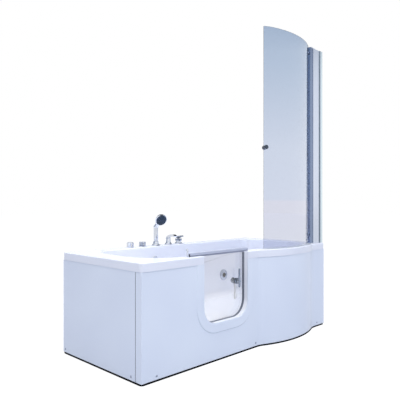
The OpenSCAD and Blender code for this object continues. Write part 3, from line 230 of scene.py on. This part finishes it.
def toughened_glass(name, low, high, stops):
    """Float glass, cut, bent and toughened, its tint graded darker towards the top as painted shade
    and reflection.
    """
    material, tree, shader = new_material(name)
    place = add_node(tree, "ShaderNodeTexCoord").outputs["Object"]
    height = add_node(tree, "ShaderNodeSeparateXYZ", inputs={"Vector": place}).outputs["Z"]
    # the tint graded by height is painted shade and reflection on the pane
    tint = graded(tree, height, low, high, stops)
    tree.links.new(tint, shader.inputs["Base Color"])
    # clear with a cool tint; rollers and heat leave long, very shallow waves
    finish(tree, shader,
           relief=(grain(tree, 180, 1.0), 0.05, 0.2),
           Roughness=0.0,
           IOR=1.52,
           Transmission_Weight=1.0)
    # what stands behind the pane still gets the lamps' light
    clear = add_node(tree, "ShaderNodeBsdfTransparent", inputs={"Color": tint})
    path = add_node(tree, "ShaderNodeLightPath")
    passed = add_node(tree, "ShaderNodeMixShader", inputs={
        "Fac": path.outputs["Is Shadow Ray"], 1: shader.outputs["BSDF"], 2: clear.outputs["BSDF"]})
    tree.links.new(passed.outputs["Shader"], tree.nodes["Material Output"].inputs["Surface"])
    return material


def chromed_brass(name="chromed brass", base="#F1F4F9", shade="#E6EAF1"):
    """Cast and turned brass, polished, nickelled and chromed."""
    material, tree, shader = new_material(name)
    # a mirror with a cold cast; handling leaves faint smears of slightly softer gloss
    finish(tree, shader,
           tones=(grain(tree, 30), (0.35, base), (0.65, shade)),
           gloss=(grain(tree, 14), 0.05, 0.11),
           Metallic=1.0)
    return material


def bright_aluminium(name, base, shade):
    """Extruded aluminium, brightened and clear anodised."""
    material, tree, shader = new_material(name)
    # the die leaves fine lines along the bar, 0.3 mm apart in life and drawn 3 mm apart to show
    lines = grain(tree, 3, 2.0, (1, 1, 0.004))
    finish(tree, shader,
           tones=(lines, (0.3, base), (0.7, shade)),
           gloss=(lines, 0.2, 0.26),
           relief=(lines, 0.02, 0.3),
           Metallic=1.0)
    return material


def white_lacquer():
    """Aluminium bar with a baked white lacquer."""
    material, tree, shader = new_material("white lacquered aluminium")
    # an even soft gloss with a trace of orange peel about 4 mm across
    finish(tree, shader,
           tones=(grain(tree, 60), (0.3, finishes().lacquer), (0.7, finishes().lacquer_shade)),
           relief=(grain(tree, 4), 0.03, 0.4),
           Roughness=0.25)
    return material


def epdm_rubber(name, dark, pale):
    """Rubber extruded and cured, with a dull skin."""
    material, tree, shader = new_material(name)
    # a dry bloom over the grey or black, and a grain drawn 1.5 mm wide so that it shows
    finish(tree, shader,
           tones=(grain(tree, 12), (0.35, dark), (0.65, pale)),
           gloss=(grain(tree, 8), 0.45, 0.65),
           relief=(grain(tree, 1.5, 4.0), 0.06, 0.5))
    return material


def sponge_strip_and_painted_shadow():
    """Black sponge rubber with a cut face, drawn near black so that it paints shadow as well."""
    material, tree, shader = new_material("black sponge strip")
    # near black with hardly any gloss: partly the rubber's own black, partly painted shadow of the
    # panel joint and the gap under the panels; cells are drawn 2 mm wide
    finish(tree, shader,
           tones=(cells(tree, 2), (0.0, "#030406"), (1.0, "#0A0C10")),
           relief=(cells(tree, 2), 0.2, 0.5),
           Roughness=0.9,
           Specular_IOR_Level=0.1)
    return material


def moulded_plastic(name, base, shade, roughness):
    """Injection moulded plastic with a finely eroded tool skin."""
    material, tree, shader = new_material(name)
    # a broad soft highlight broken by the tool's fine grain
    finish(tree, shader,
           tones=(grain(tree, 25), (0.35, base), (0.65, shade)),
           gloss=(grain(tree, 6), roughness, roughness + 0.12),
           relief=(grain(tree, 1.2, 3.0), 0.03, 0.4))
    return material


def milky_plastic(name, base, shade, share):
    """Clear or natural plastic that lets a share of the light through."""
    material, tree, shader = new_material(name)
    # milky where it is thick, with slight draw lines
    finish(tree, shader,
           tones=(grain(tree, 15), (0.35, base), (0.65, shade)),
           relief=(grain(tree, 2), 0.04, 0.4),
           Roughness=0.3,
           IOR=1.5,
           Transmission_Weight=share)
    return material


def powder_coat(name, base, shade):
    """Steel or cast iron with a sprayed and baked coat."""
    material, tree, shader = new_material(name)
    # dull and even, with a pebbled skin about 1 mm across
    finish(tree, shader,
           tones=(grain(tree, 40), (0.35, base), (0.65, shade)),
           gloss=(grain(tree, 10), 0.38, 0.5),
           relief=(grain(tree, 1.2, 3.0), 0.06, 0.5))
    return material


def zinc_plate():
    """Steel, electroplated with zinc and passivated."""
    material, tree, shader = new_material("zinc plated steel")
    # a greyish metal with small cloudy patches of duller plating
    finish(tree, shader,
           tones=(cells(tree, 5), (0.0, "#A9AEB4"), (1.0, "#C3C7CB")),
           gloss=(grain(tree, 9), 0.28, 0.42),
           Metallic=1.0)
    return material


def bare_brass():
    """Brass bar, turned and left bare."""
    material, tree, shader = new_material("bare brass")
    # warm yellow with duller brown clouds of handling tarnish
    finish(tree, shader,
           tones=(grain(tree, 16), (0.3, "#C8A45F"), (0.7, "#9C7A45")),
           gloss=(grain(tree, 6), 0.22, 0.4),
           Metallic=1.0)
    return material


def sawn_softwood():
    """Spruce, sawn and left bare."""
    material, tree, shader = new_material("sawn softwood")
    # growth rings about 4 mm apart, stretched along the block, with a fuzzy sawn skin
    finish(tree, shader,
           tones=(grain(tree, 4, 3.0, (0.12, 1, 1)),
                  (0.3, "#D9BB8C"), (0.55, "#C8A272"), (0.75, "#A98252")),
           relief=(grain(tree, 1.5, 4.0), 0.15, 0.5),
           Roughness=0.7)
    return material


def chipboard():
    """Wood chips pressed with resin."""
    material, tree, shader = new_material("chipboard")
    # a mosaic of chips 5 mm across in three browns
    finish(tree, shader,
           tones=(cells(tree, 5), (0.0, "#A67C4C"), (0.5, "#C19A66"), (1.0, "#8E6A42")),
           relief=(cells(tree, 5), 0.1, 0.4),
           Roughness=0.75)
    return material


# Meshes

def soften(obj, edge_mm, angle=SHARP):
    """Welds a piece's faces, rounds its sharp edges by edge_mm and shades it smoothly."""
    for polygon in obj.data.polygons:
        polygon.use_smooth = True
    weld = obj.modifiers.new("weld", "WELD")
    weld.merge_threshold = WELD
    if edge_mm:
        bevel = obj.modifiers.new("edge", "BEVEL")
        bevel.width = edge_mm * MM
        bevel.segments = 2
        bevel.limit_method = "ANGLE"
        bevel.angle_limit = math.radians(angle)
        bevel.face_strength_mode = "FSTR_ALL"
    split = obj.modifiers.new("split", "EDGE_SPLIT")
    split.split_angle = math.radians(angle)
    # broad faces keep their own flat normal, so only the roundings shade smoothly
    flat = obj.modifiers.new("flat", "WEIGHTED_NORMAL")
    flat.weight = 100
    flat.use_face_influence = bool(edge_mm)
    return obj


def dress(name, material, edge_mm=0.0, angle=SHARP):
    """Gives a piece of the frame its material and softened edges."""
    obj = NODES[name]
    obj.data.materials.clear()
    obj.data.materials.append(material)
    soften(obj, edge_mm, angle)


def joint_bead(name, width):
    """A rubber bead with a rounded face, pressed into the upright joint between the two panels."""
    low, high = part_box("end_panel")
    middle = low.y - width / 2
    half = width / 2 - BEAD_GAP
    face, back = low.x + BEAD_FACE, low.x + BEAD_BACK
    turns = [math.radians(a) for a in range(-90, 91, BEAD_STEP)]
    ring = [(back, middle - half)]
    ring += [(face - BEAD_CROWN * math.cos(t), middle + half * math.sin(t)) for t in turns]
    ring += [(back, middle + half)]
    count = len(ring)
    points = [(x, y, z) for z in (low.z, high.z) for x, y in ring]
    faces = [(i, (i + 1) % count, count + (i + 1) % count, count + i) for i in range(count)]
    faces += [tuple(range(count))[::-1], tuple(range(count, 2 * count))]
    mesh = bpy.data.meshes.new(name)
    mesh.from_pydata(points, [], faces)
    mesh.update()
    bead = bpy.data.objects.new(name, mesh)
    bpy.context.scene.collection.objects.link(bead)
    # the bead's near black also paints the shadow in the joint
    mesh.materials.append(shared(sponge_strip_and_painted_shadow))
    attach(soften(bead, 0.0), "base")


def shared(maker, *values):
    """Makes a material once and hands out the same one after that."""
    key = maker.__name__ + "/".join(str(v) for v in values)
    if key not in MADE:
        MADE[key] = maker(*values)
    return MADE[key]


# Settings

def millimetres(name, description, default, least=0.0):
    """A length in millimetres as a setting."""
    return bpy.props.FloatProperty(name=name, description=description, default=default, min=least)


def colour(name, description, code):
    """A colour as a setting, given as an sRGB hex value."""
    return bpy.props.FloatVectorProperty(
        name=name, description=description, default=linear(code),
        subtype="COLOR", size=4, min=0.0, max=1.0)


class BathFinishes(bpy.types.PropertyGroup):
    """Colours of the white finishes and roundings of the edges."""

    acrylic: colour("Acrylic", "Colour of the bath", "#E8ECF6")
    acrylic_shade: colour("Acrylic shade", "Deeper tone in the bath's long waves", "#E2E7F3")
    panel: colour("Panel", "Colour of the panels", "#E0E9F6")
    panel_shade: colour("Panel shade", "Deeper tone in the panels' long waves", "#DAE3F2")
    lacquer: colour("Lacquer", "Colour of the door's top rail", "#BCC3D5")
    lacquer_shade: colour("Lacquer shade", "Deeper tone of the door's top rail", "#B3BACE")
    acrylic_edge: millimetres("Acrylic edge", "Rounding of the bath's edges in millimetres", 1.5)
    panel_edge: millimetres("Panel edge", "Rounding of the front panel's edges in millimetres", 0.8)
    metal_edge: millimetres("Metal edge", "Rounding of the metal parts' edges in millimetres", 0.5)
    panel_joint: millimetres("Panel joint", "Joint between the panels in millimetres", 4.0, 1.0)


class BathCamera(bpy.types.PropertyGroup):
    """Where the camera stands and how it looks at the bath."""

    lens: bpy.props.FloatProperty(
        name="Lens", description="Focal length of the camera", default=43.0, unit="CAMERA")
    sensor: bpy.props.FloatProperty(
        name="Sensor", description="Width of the camera's sensor", default=36.0, unit="CAMERA")
    place: bpy.props.FloatVectorProperty(
        name="Place", description="Where the camera stands",
        default=(-2.2892, -2.1769, 0.8970), subtype="TRANSLATION", unit="LENGTH")
    turn: bpy.props.FloatProperty(
        name="Turn", description="Turn of the camera from looking along the bath's width",
        default=math.radians(-45.115), subtype="ANGLE")
    rise: bpy.props.FloatProperty(
        name="Rise", description="Upward shift of the camera's picture", default=0.0056)


def finishes():
    """The settings that the pieces are dressed from."""
    return bpy.context.scene.bath_finishes


# Pieces

class BATH_OT_tub(bpy.types.Operator):
    """Dresses the acrylic bath"""

    bl_idname = "bath.tub"
    bl_label = "Tub"

    def execute(self, context):
        dress("tub_shell", shared(sanitary_acrylic), finishes().acrylic_edge, SHARP_ACRYLIC)
        return {"FINISHED"}


class BATH_OT_panels(bpy.types.Operator):
    """Dresses the front and end panels and their screws"""

    bl_idname = "bath.panels"
    bl_label = "Panels"

    def execute(self, context):
        dress("front_panel", shared(panel_acrylic), finishes().panel_edge)
        dress("end_panel", shared(panel_acrylic))
        # the base strip's near black also paints the shadow along the floor
        dress("base_strip", shared(sponge_strip_and_painted_shadow), FINE)
        joint_bead("panel_joint_bead", finishes().panel_joint * MM)
        caps = shared(moulded_plastic, "grey screw caps", "#A2AABA", "#969FB1", 0.35)
        dress("panel_screws", caps, FINE)
        return {"FINISHED"}


class BATH_OT_door(bpy.types.Operator):
    """Dresses the door, its hinge, seal and latch"""

    bl_idname = "bath.door"
    bl_label = "Door"

    def execute(self, context):
        low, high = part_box("door_glass")
        glass = shared(toughened_glass, "toughened door glass", low.z, high.z, DOOR_TINT_AND_PAINTED_SHADE)
        dress("door_glass", glass, SMALL)
        dress("door_top_rail", shared(white_lacquer), BROAD)
        dress("rail_gasket", shared(epdm_rubber, "grey rail gasket", "#80869A", "#8A90A4"), FINE)
        dress("door_seal", shared(epdm_rubber, "grey door seal", "#666D7B", "#6F7684"), FINE)
        for name in ("hinge_rod", "hinge_brackets", "hinge_clamps", "latch_keep"):
            dress(name, shared(chromed_brass), finishes().metal_edge)
        for name in ("latch_rose", "latch_lever", "latch_knob"):
            dress(name, shared(chromed_brass, *CHROME_WITH_PAINTED_SHADE), finishes().metal_edge)
        dress("hinge_screws", shared(zinc_plate), FINE)
        acetal = shared(milky_plastic, "natural acetal", "#FFFFFF", "#FAFBFD", 0.95)
        dress("latch_spindle", acetal, FINE)
        return {"FINISHED"}


class BATH_OT_screen(bpy.types.Operator):
    """Dresses the curved screen, its seal and knobs"""

    bl_idname = "bath.screen"
    bl_label = "Screen"

    def execute(self, context):
        low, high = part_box("screen_glass")
        glass = shared(toughened_glass, "toughened screen glass", low.z, high.z, SCREEN_TINT_AND_PAINTED_REFLECTION)
        dress("screen_glass", glass, HEAVY)
        lip = shared(milky_plastic, "clear soft PVC", "#DCE3EA", "#C9D3DD", 0.55)
        dress("screen_seal", lip, FINE)
        black = shared(chromed_brass, "black chrome", "#6A7380", "#4A525F")
        dress("screen_knobs", black, finishes().metal_edge)
        caps = shared(moulded_plastic, "grey bolt caps", "#77859F", "#8391AA", 0.3)
        dress("screen_bolts", caps, FINE)
        return {"FINISHED"}


class BATH_OT_profiles(bpy.types.Operator):
    """Dresses the wall channel, the fixed and pivoting profiles and their brackets"""

    bl_idname = "bath.profiles"
    bl_label = "Profiles"

    def execute(self, context):
        # all three bars are the same anodised aluminium: the near-white wall channel and fixed
        # profile are painted light, the dark pivot profile is painted shade
        for name, base, shade in (
            ("wall_channel", "#EAF6FA", "#E0EEF4"),
            ("fixed_profile", "#E4EAF5", "#D8E0EE"),
            ("pivot_profile", "#93A1BA", "#8392AD"),
        ):
            bar = shared(bright_aluminium, f"anodised {name.replace('_', ' ')}", base, shade)
            dress(name, bar, finishes().metal_edge)
        gasket = shared(epdm_rubber, "grey profile gasket", "#65737F", "#75838F")
        dress("profile_cover", gasket, FINE)
        dress("pivot_brackets", shared(chromed_brass), finishes().metal_edge)
        return {"FINISHED"}


class BATH_OT_taps(bpy.types.Operator):
    """Dresses the deck fittings"""

    bl_idname = "bath.taps"
    bl_label = "Taps"

    def execute(self, context):
        for name in ("diverter_base", "diverter_knob"):
            dress(name, shared(chromed_brass, *CHROMED_PLASTIC), finishes().metal_edge)
        for name in ("mixer_cap", "mixer_lever"):
            dress(name, shared(chromed_brass, *CHROME_WITH_PAINTED_SHADE), finishes().metal_edge)
        for name in ("button_ring", "air_button", "shower_holder",
                     "hand_shower", "spout", "mixer_body"):
            dress(name, shared(chromed_brass), finishes().metal_edge)
        face = shared(moulded_plastic, "navy spray face", "#22344A", "#2A3F58", 0.22)
        dress("shower_face", face, FINE)
        dress("deck_nuts", shared(bare_brass), NUT)
        return {"FINISHED"}


class BATH_OT_jets(bpy.types.Operator):
    """Dresses the jets, the suction, the pump and the pipes"""

    bl_idname = "bath.jets"
    bl_label = "Jets"

    def execute(self, context):
        for name in ("jet_rings", "suction_cover"):
            dress(name, shared(chromed_brass, *CHROMED_PLASTIC), finishes().metal_edge)
        ball = shared(moulded_plastic, "dark acetal", "#050608", "#0A0C0F", 0.2)
        for number in range(1, JETS + 1):
            dress(f"jet_ball_{number}", ball, FINE)
        for name in ("jet_bodies", "suction_pipe", "water_pipes"):
            dress(name, shared(moulded_plastic, *PRESSURE_PIPE), SMALL)
        tube = shared(moulded_plastic, "grey air tube", "#C9D2DC", "#BCC6D2", 0.32)
        dress("air_pipes", tube, FINE)
        dress("jet_pump", shared(powder_coat, "pump enamel", "#26303C", "#2E3946"), HEAVY)
        return {"FINISHED"}


class BATH_OT_waste(bpy.types.Operator):
    """Dresses the waste, the overflow and their pipe"""

    bl_idname = "bath.waste"
    bl_label = "Waste"

    def execute(self, context):
        for name in ("waste_flange", "waste_plug", "overflow_plate", "overflow_knob"):
            dress(name, shared(chromed_brass), finishes().metal_edge)
        for name in ("waste_trap", "overflow_pipe"):
            dress(name, shared(moulded_plastic, *PRESSURE_PIPE), SMALL)
        return {"FINISHED"}


class BATH_OT_underframe(bpy.types.Operator):
    """Dresses the frame, the feet, the board and the blocks under the bath"""

    bl_idname = "bath.underframe"
    bl_label = "Underframe"

    def execute(self, context):
        dress("steel_frame", shared(powder_coat, "grey powder coat", "#35383D", "#3F4348"), HEAVY)
        dress("foot_studs", shared(zinc_plate), FINE)
        dress("foot_pads", shared(epdm_rubber, "rubber foot", "#16191E", "#20242A"), SMALL)
        dress("base_board", shared(chipboard), BROAD)
        dress("panel_blocks", shared(sawn_softwood), HEAVY)
        return {"FINISHED"}


class BATH_OT_stage(bpy.types.Operator):
    """Sets the camera, the floor, the backdrop's light and the lamps"""

    bl_idname = "bath.stage"
    bl_label = "Stage"

    def execute(self, context):
        make_camera(context.scene)
        make_floor()
        make_world(context.scene)
        make_lamps()
        context.scene.view_settings.view_transform = "Standard"
        return {"FINISHED"}


def make_camera(scene):
    """Sets the camera at the photograph's viewing angle."""
    view = scene.bath_camera
    data = bpy.data.cameras.new("camera")
    data.lens = view.lens
    data.sensor_width = view.sensor
    data.shift_y = view.rise
    camera = bpy.data.objects.new("camera", data)
    camera.location = view.place
    camera.rotation_euler = (math.radians(90), 0, view.turn)
    scene.collection.objects.link(camera)
    scene.camera = camera


def make_floor():
    """A pale plain floor that the camera sees as white apart from the bath's shadow."""
    corners = [(x * FLOOR_REACH, y * FLOOR_REACH, 0)
               for x, y in ((-1, -1), (1, -1), (1, 1), (-1, 1))]
    mesh = bpy.data.meshes.new("studio floor")
    mesh.from_pydata(corners, [], [(0, 1, 2, 3)])
    floor = bpy.data.objects.new("studio floor", mesh)
    bpy.context.scene.collection.objects.link(floor)
    material = bpy.data.materials.new("studio floor paint")
    material.use_nodes = True
    tree = material.node_tree
    tree.nodes.clear()
    path = add_node(tree, "ShaderNodeLightPath")
    seen = add_node(tree, "ShaderNodeMath", {"operation": "MAXIMUM"}, {
        0: path.outputs["Is Camera Ray"], 1: path.outputs["Is Transmission Ray"]})
    direct = add_node(tree, "ShaderNodeMath", {"operation": "MULTIPLY"}, {
        0: seen.outputs["Value"], 1: FLOOR_SEEN})
    mirrored = add_node(tree, "ShaderNodeMath", {"operation": "MULTIPLY"}, {
        0: path.outputs["Is Glossy Ray"], 1: FLOOR_MIRRORED})
    share = add_node(tree, "ShaderNodeMath", {"operation": "MAXIMUM"}, {
        0: direct.outputs["Value"], 1: mirrored.outputs["Value"]})
    paint = add_node(tree, "ShaderNodeBsdfDiffuse", inputs={"Color": linear(FLOOR_PAINT)})
    white = add_node(tree, "ShaderNodeEmission", inputs={
        "Color": linear(WHITE), "Strength": FLOOR_WHITE})
    mixed = add_node(tree, "ShaderNodeMixShader", inputs={
        "Fac": share.outputs["Value"], 1: paint.outputs["BSDF"], 2: white.outputs["Emission"]})
    add_node(tree, "ShaderNodeOutputMaterial", inputs={"Surface": mixed.outputs["Shader"]})
    mesh.materials.append(material)


def make_world(scene):
    """White for the camera and through glass, a banded studio for mirrors, cool soft light."""
    world = bpy.data.worlds.new("studio")
    scene.world = world
    world.use_nodes = True
    tree = world.node_tree
    tree.nodes.clear()
    way = add_node(tree, "ShaderNodeTexCoord").outputs["Generated"]
    height = add_node(tree, "ShaderNodeSeparateXYZ", inputs={"Vector": way}).outputs["Z"]
    # chrome mirrors a pale floor, one dark band above the floor line and a bright ceiling
    mirrored = graded(tree, height, BAND_FOOT, BAND_HEAD, BANDS)
    # the darker side and the flag draw thin dark edges along round chrome
    for direction, stops in ((BRIGHT_SIDE, WALLS), (FLAG_PLACE, FLAG)):
        along = add_node(tree, "ShaderNodeVectorMath", {"operation": "DOT_PRODUCT"}, {
            0: way, 1: Vector(direction).normalized()}).outputs["Value"]
        mirrored = add_node(tree, "ShaderNodeMixRGB", {"blend_type": "MULTIPLY"}, {
            "Fac": 1.0, "Color1": mirrored, "Color2": graded(tree, along, -1.0, 1.0, stops),
        }).outputs["Color"]
    room = add_node(tree, "ShaderNodeBackground", inputs={
        "Color": linear(ROOM_TINT), "Strength": ROOM_LIGHT})
    mirror = add_node(tree, "ShaderNodeBackground", inputs={"Color": mirrored, "Strength": 1.0})
    white = add_node(tree, "ShaderNodeBackground", inputs={"Color": linear(WHITE), "Strength": 1.0})
    path = add_node(tree, "ShaderNodeLightPath")
    lit = add_node(tree, "ShaderNodeMixShader", inputs={
        "Fac": path.outputs["Is Glossy Ray"],
        1: room.outputs["Background"], 2: mirror.outputs["Background"]})
    seen = add_node(tree, "ShaderNodeMath", {"operation": "MAXIMUM"}, {
        0: path.outputs["Is Camera Ray"], 1: path.outputs["Is Transmission Ray"]})
    mixed = add_node(tree, "ShaderNodeMixShader", inputs={
        "Fac": seen.outputs["Value"], 1: lit.outputs["Shader"], 2: white.outputs["Background"]})
    add_node(tree, "ShaderNodeOutputWorld", inputs={"Surface": mixed.outputs["Shader"]})


def make_lamps():
    """Broad soft boxes: one overhead, one from the front left and a weak one from the right."""
    for name, place, aim, size, power, tint in SOFT_BOXES:
        data = bpy.data.lights.new(name, "AREA")
        data.shape = "SQUARE"
        data.size = size
        data.energy = power
        data.color = linear(tint)[:3]
        lamp = bpy.data.objects.new(name, data)
        lamp.visible_camera = False
        lamp.visible_glossy = False
        lamp.visible_transmission = False
        lamp.location = place
        lamp.rotation_euler = (Vector(aim) - Vector(place)).to_track_quat("-Z", "Y").to_euler()
        bpy.context.scene.collection.objects.link(lamp)


class BATH_PT_panel(bpy.types.Panel):
    """Lists the pieces and the stage"""

    bl_idname = "BATH_PT_panel"
    bl_label = "Walk-in shower bath"
    bl_space_type = "VIEW_3D"
    bl_region_type = "UI"
    bl_category = "Bath"

    def draw(self, context):
        for settings in (context.scene.bath_finishes, context.scene.bath_camera):
            for name in type(settings).__annotations__:
                self.layout.prop(settings, name)
        for operator in OPERATORS:
            self.layout.operator(operator.bl_idname)


OPERATORS = (
    BATH_OT_stage, BATH_OT_tub, BATH_OT_panels, BATH_OT_door, BATH_OT_screen, BATH_OT_profiles,
    BATH_OT_taps, BATH_OT_jets, BATH_OT_waste, BATH_OT_underframe,
)
CLASSES = (BathFinishes, BathCamera) + OPERATORS + (BATH_PT_panel,)


def register():
    for item in CLASSES:
        bpy.utils.register_class(item)
    bpy.types.Scene.bath_finishes = bpy.props.PointerProperty(type=BathFinishes)
    bpy.types.Scene.bath_camera = bpy.props.PointerProperty(type=BathCamera)


def unregister():
    del bpy.types.Scene.bath_camera
    del bpy.types.Scene.bath_finishes
    for item in reversed(CLASSES):
        bpy.utils.unregister_class(item)


def main():
    register()
    for operator in OPERATORS:
        getattr(bpy.ops.bath, operator.bl_idname.split(".")[1])()


if __name__ == "__main__":
    main()
